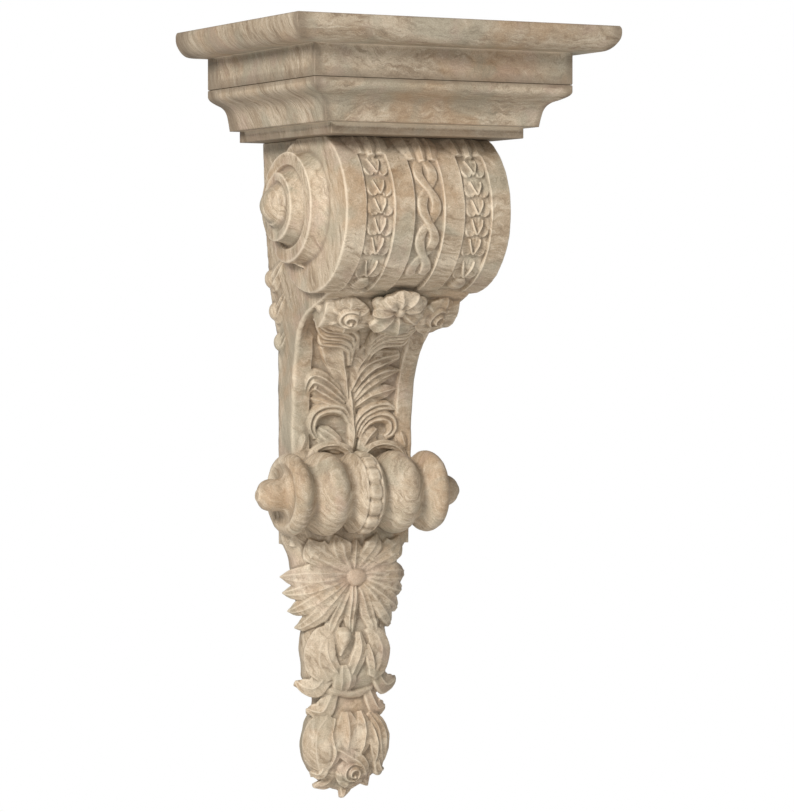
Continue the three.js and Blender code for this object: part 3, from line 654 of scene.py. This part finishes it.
def drops():
    """Two husks with their buds, the collar and neck between them, and the last leaves with a rose."""
    leaves = [
        ([(-26, -538), (-43, -556), (-46, -580), (-34, -606)], 21, 6, veined, ROUNDED),
        ([(24, -538), (37, -558), (39, -580), (28, -604)], 18, 7, fluted(2, 0.25), ROUNDED),
        ([(-36, -546), (-38, -568), (-28, -590), (-14, -610)], 11, 8, PETAL, POINTED),
        ([(8, -544), (8, -566), (0, -590), (-12, -612)], 11, 8, PETAL, POINTED),
        ([(-15, -538), (-16, -552), (-21, -574)], 12, 13, dome, BUD),
        ([(-14, -586), (-13, -604), (-12, -622)], 17, 8, FAN, ROUNDED),
        ([(20, -560), (26, -580), (30, -600)], 9, 9, PETAL, POINTED),
        ([(-46, -616), (-18, -621), (4, -625), (32, -618)], 6, 5, dome, EVEN),
        ([(-32, -652), (-46, -672), (-49, -698), (-40, -728)], 20, 7, veined, ROUNDED),
        ([(26, -650), (39, -670), (42, -694), (46, -722)], 17, 8, FAN, POINTED),
        ([(-24, -656), (-31, -680), (-27, -700), (-34, -722)], 10, 9, PETAL, POINTED),
        ([(-7, -648), (-8, -676), (-13, -708)], 20, 8, PETAL, POINTED),
        ([(13, -648), (15, -676), (7, -708)], 12, 10, PETAL, POINTED),
        ([(26, -664), (31, -688), (33, -714)], 10, 10, PETAL, POINTED),
        ([(-32, -690), (-8, -704), (12, -716), (24, -738)], 11, 10, PETAL, POINTED),
    ]
    made = [petal(on_hang, *rest) for rest in leaves]
    for s in SIDES:
        made.append(claw(s, (32, -594), (50, -614), (73, -607), 15))
        made.append(claw(s, (26, -622), (38, -645), (57, -645), 14))
        made.append(claw(s, (34, -704), (42, -726), (51, -727), 9))
    tips = [
        [(-16, -40, -722), (-30, -38, -740), (-47, -34, -745)],
        [(2, -36, -730), (-2, -34, -750), (-8, -38, -761)],
        [(14, -42, -722), (22, -42, -738), (28, -40, -747)],
    ]
    for line in tips:
        controls = [(place, (0, -1, -0.2), w, 6) for place, w in zip(line, (13, 10, 2))]
        made.append(strip(controls, PETAL))
    made += flower((0, -48, -727), (0, -0.95, -0.3), 21, 5, 0.6, 7, PETAL)
    made += rose((0, -52, -727), (0, -0.95, -0.3), 15, 10)
    return made


# Meshes

def join(bodies):
    """One list of points and triangles from many bodies."""
    start = np.cumsum([0] + [len(points) for points, _ in bodies[:-1]])
    points = np.vstack([points for points, _ in bodies])
    faces = np.vstack([faces + first for (_, faces), first in zip(bodies, start)])
    return points, faces


def mesh_of(name, points, faces):
    """A Blender mesh in metres."""
    mesh = bpy.data.meshes.new(name)
    mesh.vertices.add(len(points))
    mesh.vertices.foreach_set("co", (points * MM).astype(np.float32).ravel())
    mesh.loops.add(faces.size)
    mesh.loops.foreach_set("vertex_index", faces.astype(np.int32).ravel())
    mesh.polygons.add(len(faces))
    mesh.polygons.foreach_set("loop_start", np.arange(0, faces.size, faces.shape[1], dtype=np.int32))
    mesh.update(calc_edges=True)
    return mesh


def piece_of(name, mesh):
    piece = bpy.data.objects.new(name, mesh)
    bpy.context.scene.collection.objects.link(piece)
    return piece


def modified(piece, kind, **settings):
    """Gives the piece the mesh that a modifier makes of it."""
    made = piece.modifiers.new("made", kind)
    for key, value in settings.items():
        setattr(made, key, value)
    seen = piece.evaluated_get(bpy.context.evaluated_depsgraph_get())
    mesh = bpy.data.meshes.new_from_object(seen)
    piece.modifiers.remove(made)
    old, piece.data = piece.data, mesh
    bpy.data.meshes.remove(old)


def places_of(mesh):
    at = np.empty(len(mesh.vertices) * 3, np.float32)
    mesh.vertices.foreach_get("co", at)
    return at.reshape(-1, 3).astype(float) / MM


def set_places(mesh, at):
    mesh.vertices.foreach_set("co", (at * MM).astype(np.float32).ravel())
    mesh.update()


def edges_of(mesh):
    ends = np.empty(len(mesh.edges) * 2, np.int32)
    mesh.edges.foreach_get("vertices", ends)
    return ends.reshape(-1, 2)


def normals_of(mesh):
    n = np.empty(len(mesh.vertices) * 3, np.float32)
    mesh.vertex_normals.foreach_get("vector", n)
    return n.reshape(-1, 3).astype(float)


def averaged(values, ends, count):
    """Mean of each point's neighbours."""
    total = np.zeros((count, values.shape[1]))
    for k in range(values.shape[1]):
        total[:, k] = np.bincount(ends[:, 0], values[ends[:, 1], k], count)
        total[:, k] += np.bincount(ends[:, 1], values[ends[:, 0], k], count)
    degree = np.bincount(ends.ravel(), minlength=count)
    return total / np.maximum(degree, 1)[:, None]


def smoothed(at, ends, rounds, inward=0.5, outward=-0.52):
    """Takes the small steps off a surface and keeps its volume."""
    for _ in range(rounds):
        for share in (inward, outward):
            at = at + share * (averaged(at, ends, len(at)) - at)
    return at


def kept_faces(piece):
    """Keeps the largest connected part of a mesh."""
    mesh = piece.data
    ends = edges_of(mesh)
    count = len(mesh.vertices)
    label = np.arange(count)
    while True:
        low = np.minimum(label[ends[:, 0]], label[ends[:, 1]])
        new = label.copy()
        np.minimum.at(new, ends[:, 0], low)
        np.minimum.at(new, ends[:, 1], low)
        new = new[new]
        if (new == label).all():
            break
        label = new
    names, sizes = np.unique(label, return_counts=True)
    keep = label == names[np.argmax(sizes)]
    corners = np.empty(len(mesh.loops), np.int32)
    mesh.loops.foreach_get("vertex_index", corners)
    starts = np.empty(len(mesh.polygons), np.int32)
    mesh.polygons.foreach_get("loop_start", starts)
    sides = np.diff(np.append(starts, len(corners)))
    new_place = np.cumsum(keep) - 1
    at = places_of(mesh)[keep]
    faces = []
    for size in (3, 4):
        rows = starts[sides == size]
        if not len(rows):
            continue
        block = corners[rows[:, None] + np.arange(size)]
        block = new_place[block[keep[block[:, 0]]]]
        faces.append(block if size == 3 else np.vstack([block[:, [0, 1, 2]], block[:, [0, 2, 3]]]))
    piece.data = mesh_of(mesh.name, at, np.vstack(faces))
    bpy.data.meshes.remove(mesh)


def wobble(at, size, waves=24):
    """A soft unevenness of about one unit, the same every run."""
    total = np.zeros(len(at))
    for _ in range(waves):
        way = unit(rng.normal(size=3)) * (2 * np.pi / (size * rng.uniform(0.7, 1.6)))
        total += np.sin(at @ way + rng.uniform(0, 2 * np.pi))
    return total / math.sqrt(waves / 2)


def mark_hollows(mesh, name, rounds, scale):
    """Keeps how hollow (above 0.5) or sharp (below 0.5) the surface is at each point off the wall."""
    at = places_of(mesh)
    ends = edges_of(mesh)
    mean = at
    for _ in range(rounds):
        mean = mean + 0.6 * (averaged(mean, ends, len(at)) - mean)
    depth = np.einsum("ij,ij->i", mean - at, normals_of(mesh))
    depth = np.where(at[:, 1] > -1, 0, depth)[:, None]
    for _ in range(2):
        depth = 0.5 * depth + 0.5 * averaged(depth, ends, len(at))
    value = 0.5 + 0.5 * np.tanh(depth[:, 0] / scale)
    kept = mesh.attributes.new(name, "FLOAT", "POINT")
    kept.data.foreach_set("value", value.astype(np.float32))


def carved_piece():
    """The carved stone, joined into one closed mesh."""
    bodies = [*body(), *drum(), *hang(), *ribbon(), *crown(), *garland(), *foliage(), *roll(), *palmette(),
              *drops()]
    for side in SIDES:
        bodies += [*volute(side), *chain(side), *side_leaves(side)]
    points, faces = join(bodies)
    points[:, 1] = np.minimum(points[:, 1], 0)
    points[:, 2] = np.minimum(points[:, 2], BODY_TOP)
    piece = piece_of("scroll", mesh_of("scroll", points, faces))
    modified(piece, "REMESH", mode="VOXEL", voxel_size=VOXEL * MM, adaptivity=0.0, use_smooth_shade=True)
    kept_faces(piece)
    mesh = piece.data
    ends = edges_of(mesh)
    at = smoothed(places_of(mesh), ends, 2)
    set_places(mesh, at)
    at = at + normals_of(mesh) * (0.12 * wobble(at, 14) + 0.2 * wobble(at, 45))[:, None]
    set_places(mesh, at)
    # Masks of hollows and sharp edges, for the painted shade and painted highlight of the stone
    mark_hollows(mesh, "fine_hollow", 4, 0.2)
    mark_hollows(mesh, "broad_hollow", 30, 0.6)
    modified(piece, "DECIMATE", ratio=min(1.0, CARVED_TRIANGLES / len(mesh.polygons)))
    mesh = piece.data
    at = np.clip(places_of(mesh), carved_low, carved_high)
    at[:, 1] = np.where(at[:, 1] > -SNAP, 0, at[:, 1])
    at[:, 2] = np.where(at[:, 2] > BODY_TOP - SNAP, BODY_TOP, at[:, 2])
    set_places(mesh, at)
    mesh.shade_smooth()
    return piece


def filled(rows, gap):
    """Rows with more points wherever two of them stand further apart than a gap."""
    full = [rows[0]]
    for start, end in zip(rows, rows[1:]):
        count = max(1, math.ceil(math.dist(start, end) / gap))
        full += [tuple(a + (b - a) * k / count for a, b in zip(start, end)) for k in range(1, count + 1)]
    return full


def moulding_piece(name, half, deep, rows):
    """A mitred moulding on three sides, from rows of (offset, z), with softly worn arrises."""
    spacing, row_gap, corner = 6.0, 4.0, 0.7
    across = round(2 * half / spacing)
    back = round(deep / spacing)
    rings = []
    for offset, z in filled(rows, row_gap):
        w, d = half + offset, deep + offset
        left = [(-w, -y, z) for y in np.linspace(0, d - corner, back)]
        front = [(x, -d, z) for x in np.linspace(-w + corner, w - corner, across)]
        right = [(w, -y, z) for y in np.linspace(d - corner, 0, back)]
        rings.append(left + front + right)
    points, faces = loft(rings)
    piece = piece_of(name, mesh_of(name, points, faces))
    mesh = piece.data
    mesh.shade_smooth()
    mesh.set_sharp_from_angle(angle=math.radians(35))
    # Masks of hollows and sharp edges, for the painted shade and painted highlight of the stone
    mark_hollows(mesh, "fine_hollow", 2, 0.3)
    mark_hollows(mesh, "broad_hollow", 8, 1.2)
    return piece


FASCIA_HALF = 180.0
FASCIA_DEEP = 310.0
OVERHANG = slab_high[0] - FASCIA_HALF
SLAB_HIGH = 32.0
BED_HIGH = 14.0
BED_INSET = 45.0


def shelf_piece():
    top = slab_high[2]
    foot = slab_low[2]
    under = top - SLAB_HIGH
    nose = curve([
        (OVERHANG - 2, top, 0),
        (OVERHANG - 0.4, top - 3, 0),
        (OVERHANG, top - 9, 0),
        (OVERHANG - 1, top - 15, 0),
        (OVERHANG - 4, top - 21, 0),
        (OVERHANG - 9, top - 27, 0),
        (OVERHANG - 16, top - 31, 0),
        (0, under, 0),
    ], np.linspace(0, 1, 40))[:, :2]
    rows = [(-60, top), *nose, (0, under - 0.5), (0, foot + 1.5), (-0.4, foot + 0.4), (-1.5, foot)]
    rows = [(min(o, OVERHANG), min(z, top)) for o, z in rows]
    return moulding_piece("shelf", FASCIA_HALF, FASCIA_DEEP, rows)


def bed_piece():
    lip = bed_high[2]
    foot = bed_low[2]
    ledge = foot + BED_HIGH
    roll_in = curve([
        (0, lip - 1.5, 0),
        (0, lip - 9, 0),
        (-2, lip - 12.5, 0),
        (-5.5, lip - 15.2, 0),
        (-12, lip - 18.5, 0),
        (-19, lip - 21.5, 0),
        (-23.5, lip - 25.5, 0),
        (-26.5, lip - 31, 0),
        (-28.5, lip - 39, 0),
        (-30.5, lip - 50, 0),
    ], np.linspace(0, 1, 48))[:, :2]
    rows = [(-1.5, lip), (-0.4, lip - 0.4), *roll_in, (-30.5, ledge + 0.5), (-31, ledge),
            (-BED_INSET, ledge), (-BED_INSET, foot + 0.6), (-BED_INSET - 0.6, foot)]
    rows = [(min(o, 0), z) for o, z in rows]
    return moulding_piece("bed_course", FASCIA_HALF, FASCIA_DEEP, rows)


# Stone

def linear(red, green, blue):
    """A colour from its eight-bit values on screen."""
    parts = [c / 255 for c in (red, green, blue)]
    return tuple(c / 12.92 if c <= 0.04045 else ((c + 0.055) / 1.055) ** 2.4 for c in parts) + (1.0,)


UMBER = linear(122, 102, 80)
TAN = linear(170, 151, 127)
BEIGE = linear(189, 172, 149)
CREAM = linear(215, 201, 179)
OCHRE = linear(172, 140, 106)
SAGE = linear(158, 154, 136)
ROSE = linear(184, 158, 142)
# Painted shade: a darker colour laid into the broad and fine hollows of the carving and mouldings
PAINTED_SHADE = linear(112, 98, 82)
# Painted highlight: a lighter cream laid on sharp edges and ridges
PAINTED_HIGHLIGHT = linear(222, 208, 186)


class Graph:
    """Short hand for a material's nodes."""

    def __init__(self, tree):
        self.tree = tree
        tree.nodes.clear()

    def node(self, kind, settings=None, **links):
        made = self.tree.nodes.new(kind)
        for key, value in (settings or {}).items():
            setattr(made, key, value)
        for key, value in links.items():
            self.put(made.inputs[key.replace("_", " ")], value)
        return made

    def put(self, socket, value):
        if isinstance(value, bpy.types.NodeSocket):
            self.tree.links.new(value, socket)
        else:
            socket.default_value = value

    def math(self, kind, a, b=0.0):
        made = self.tree.nodes.new("ShaderNodeMath")
        made.operation = kind
        self.put(made.inputs[0], a)
        self.put(made.inputs[1], b)
        return made.outputs[0]

    def ramp(self, value, low, high, start=0.0, end=1.0):
        made = self.tree.nodes.new("ShaderNodeMapRange")
        made.interpolation_type = "SMOOTHSTEP"
        for k, v in enumerate((value, low, high, start, end)):
            self.put(made.inputs[k], v)
        return made.outputs[0]

    def mix(self, share, a, b, kind="MIX"):
        made = self.tree.nodes.new("ShaderNodeMix")
        made.data_type = "RGBA"
        made.blend_type = kind
        self.put(made.inputs[0], share)
        self.put(made.inputs[6], a)
        self.put(made.inputs[7], b)
        return made.outputs[2]

    def noise(self, place, scale, detail=4.0, rough=0.55, twist=0.0):
        made = self.tree.nodes.new("ShaderNodeTexNoise")
        self.put(made.inputs["Vector"], place)
        self.put(made.inputs["Scale"], scale)
        self.put(made.inputs["Detail"], detail)
        self.put(made.inputs["Roughness"], rough)
        self.put(made.inputs["Distortion"], twist)
        return made.outputs["Fac"]

    def stirred(self, place, scale, far):
        """Places pushed about by a noise."""
        swirl = self.node("ShaderNodeTexNoise", Vector=place, Scale=scale, Detail=3.0)
        offset = self.node("ShaderNodeVectorMath", {"operation": "SUBTRACT"})
        self.put(offset.inputs[0], swirl.outputs["Color"])
        self.put(offset.inputs[1], (0.5, 0.5, 0.5))
        push = self.node("ShaderNodeVectorMath", {"operation": "SCALE"}, Scale=far)
        self.put(push.inputs[0], offset.outputs[0])
        moved = self.node("ShaderNodeVectorMath", {"operation": "ADD"})
        self.put(moved.inputs[0], place)
        self.put(moved.inputs[1], push.outputs[0])
        return moved.outputs[0]


def stone(name, shift, lean, tone):
    """Travertine: wavy layers of cream, tan and brown, clouds of other tints, grain and small pits."""
    material = bpy.data.materials.new(name)
    material.use_nodes = True
    g = Graph(material.node_tree)
    place = g.node("ShaderNodeTexCoord").outputs["Object"]
    moved = g.node("ShaderNodeMapping", Vector=place, Location=shift, Rotation=lean).outputs["Vector"]
    warped = g.stirred(g.stirred(moved, 6.0, 0.045), 70.0, 0.011)

    def layers(across, through, detail, rough):
        stretched = g.node("ShaderNodeMapping", Vector=warped, Scale=(across, across, through))
        return g.noise(stretched.outputs["Vector"], 1.0, detail, rough)

    broad = layers(4.0, 34.0, 5.0, 0.6)
    band = layers(15.0, 135.0, 6.0, 0.7)
    fibre = layers(55.0, 430.0, 5.0, 0.7)
    cloud = g.noise(warped, 9.0, 4.0, 0.6)
    patch = g.noise(moved, 15.0, 3.0, 0.5, 0.6)
    other = g.noise(warped, 17.0, 4.0, 0.55)
    grain = g.noise(place, 620.0, 2.0, 0.6)
    speck = g.noise(place, 230.0, 3.0, 0.6)

    colour = g.mix(g.ramp(broad, 0.36, 0.6), TAN, BEIGE)
    colour = g.mix(g.math("MULTIPLY", g.ramp(broad, 0.54, 0.7), 0.6), colour, CREAM)
    colour = g.mix(g.math("MULTIPLY", g.ramp(band, 0.52, 0.68), 0.6), colour, CREAM)
    colour = g.mix(g.math("MULTIPLY", g.ramp(band, 0.48, 0.36), 0.55), colour, UMBER)
    colour = g.mix(g.math("MULTIPLY", g.ramp(fibre, 0.5, 0.66), 0.55), colour, CREAM)
    colour = g.mix(g.math("MULTIPLY", g.ramp(fibre, 0.48, 0.34), 0.5), colour, UMBER)
    colour = g.mix(g.math("MULTIPLY", g.ramp(cloud, 0.5, 0.66), 0.45), colour, OCHRE)
    colour = g.mix(g.math("MULTIPLY", g.ramp(patch, 0.5, 0.66), 0.45), colour, SAGE)
    colour = g.mix(g.math("MULTIPLY", g.ramp(other, 0.55, 0.68), 0.35), colour, ROSE)
    fine = g.ramp(grain, 0.3, 0.7, 0.86 * tone, 1.12 * tone)
    shade = g.node("ShaderNodeCombineXYZ", X=fine, Y=fine, Z=fine).outputs[0]
    colour = g.mix(1.0, colour, shade, "MULTIPLY")
    colour = g.mix(g.math("MULTIPLY", g.ramp(speck, 0.62, 0.74), 0.3), colour, UMBER)

    near = g.node("ShaderNodeAttribute", {"attribute_name": "fine_hollow"}).outputs["Fac"]
    far = g.node("ShaderNodeAttribute", {"attribute_name": "broad_hollow"}).outputs["Fac"]
    # Painted shade: darker in broad hollows and in fine crevices
    colour = g.mix(g.math("MULTIPLY", g.ramp(far, 0.57, 0.95), 0.36), colour, PAINTED_SHADE)
    colour = g.mix(g.math("MULTIPLY", g.ramp(near, 0.62, 1.0), 0.35), colour, PAINTED_SHADE)
    # Painted highlight: lighter on sharp edges and ridges
    colour = g.mix(g.math("MULTIPLY", g.ramp(near, 0.4, 0.02), 0.55), colour, PAINTED_HIGHLIGHT)

    pits = g.noise(g.node("ShaderNodeMapping", Vector=warped, Scale=(90.0, 90.0, 240.0)).outputs["Vector"],
                   1.0, 2.0, 0.5)
    relief = g.math("ADD", g.math("MULTIPLY", grain, 0.25), g.math("MULTIPLY", speck, 0.6))
    relief = g.math("SUBTRACT", relief, g.math("MULTIPLY", g.ramp(pits, 0.68, 0.78), 0.8))
    bump = g.node("ShaderNodeBump", Strength=0.35, Distance=0.0008, Height=relief)
    rough = g.ramp(broad, 0.35, 0.7, 0.52, 0.66)
    shader = g.node("ShaderNodeBsdfPrincipled", Base_Color=colour, Roughness=rough, Normal=bump.outputs[0])
    shader.inputs["Specular IOR Level"].default_value = 0.35
    out = g.node("ShaderNodeOutputMaterial")
    g.put(out.inputs["Surface"], shader.outputs[0])
    return material


# Pieces on their body, in place of their nodes

# Where each block was cut: shift and lean of its layers, and how light it is
STONES = {
    "slab_stone": ((0.3, 0.1, 0.2), (2.0, 0.08, 0.0), 0.83),
    "moulding_stone": ((1.4, 0.7, 0.5), (2.0, -0.06, 0.0), 0.87),
    "carved_stone": ((2.2, 1.1, 0.9), (1.95, 0.1, 0.1), 1.0),
}


def dress(piece, node, slot):
    piece.data.materials.append(stone(slot, *STONES[slot]))
    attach(piece, "root")
    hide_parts(node)


dress(shelf_piece(), "shelf_slab", "slab_stone")
dress(bed_piece(), "bed_moulding", "moulding_stone")
dress(carved_piece(), "scroll_bracket", "carved_stone")


# Floor, world, lights and camera

def plain_material(name, colour, roughness):
    material = bpy.data.materials.new(name)
    material.use_nodes = True
    shader = material.node_tree.nodes["Principled BSDF"]
    shader.inputs["Base Color"].default_value = colour
    shader.inputs["Roughness"].default_value = roughness
    return material


FLOOR = {"z": -1350.0, "radius": 3200.0, "sides": 96}
angles = np.linspace(0, 2 * np.pi, FLOOR["sides"], endpoint=False)
rim = np.stack([np.cos(angles), np.sin(angles), 0 * angles], 1) * FLOOR["radius"] + (0, 0, FLOOR["z"])
floor = piece_of("floor", mesh_of("floor", rim, np.arange(FLOOR["sides"])[None]))
floor.data.materials.append(plain_material("floor_paint", (0.9, 0.89, 0.87, 1), 0.8))

world = bpy.data.worlds.new("studio")
bpy.context.scene.world = world
world.use_nodes = True
sky = Graph(world.node_tree)
seen = sky.node("ShaderNodeLightPath").outputs["Is Camera Ray"]
white = sky.node("ShaderNodeBackground", Color=(1, 1, 1, 1), Strength=1.0)
around = sky.node("ShaderNodeBackground", Color=(0.98, 0.99, 1, 1), Strength=0.33)
both = sky.node("ShaderNodeMixShader", Fac=seen)
sky.put(both.inputs[1], around.outputs[0])
sky.put(both.inputs[2], white.outputs[0])
sky.put(sky.node("ShaderNodeOutputWorld").inputs["Surface"], both.outputs[0])


def soft_light(name, place, aim, width, watts, colour):
    light = bpy.data.lights.new(name, "AREA")
    light.shape = "SQUARE"
    light.size = width
    light.energy = watts
    light.color = colour
    lamp = bpy.data.objects.new(name, light)
    lamp.location = place
    way = np.array(aim, float) - np.array(place, float)
    pitch = math.atan2(way[2], math.hypot(way[0], way[1]))
    lamp.rotation_euler = Euler((math.pi / 2 + pitch, 0, math.atan2(way[1], way[0]) - math.pi / 2))
    bpy.context.scene.collection.objects.link(lamp)


MIDDLE = (0, -0.15, -0.25)
soft_light("key", (-3.0, -2.3, 1.5), MIDDLE, 1.1, 150, (1.0, 0.98, 0.95))
soft_light("low", (-0.9, -3.4, -0.6), MIDDLE, 1.8, 24, (1.0, 0.98, 0.96))
soft_light("right", (2.6, -1.0, 0.6), MIDDLE, 1.5, 4, (1.0, 0.97, 0.93))

CAMERA = {"place": (-1.9560, -3.9127, -0.1289), "yaw": 27.652, "pitch": -1.604, "lens": 147.84}
camera_data = bpy.data.cameras.new("camera")
camera_data.lens = CAMERA["lens"]
camera_data.sensor_width = 36.0
camera_data.clip_end = 50
camera = bpy.data.objects.new("camera", camera_data)
camera.location = CAMERA["place"]
camera.rotation_euler = Euler((math.radians(90 + CAMERA["pitch"]), 0, -math.radians(CAMERA["yaw"])))
bpy.context.scene.collection.objects.link(camera)
bpy.context.scene.camera = camera
bpy.context.scene.view_settings.view_transform = "Standard"
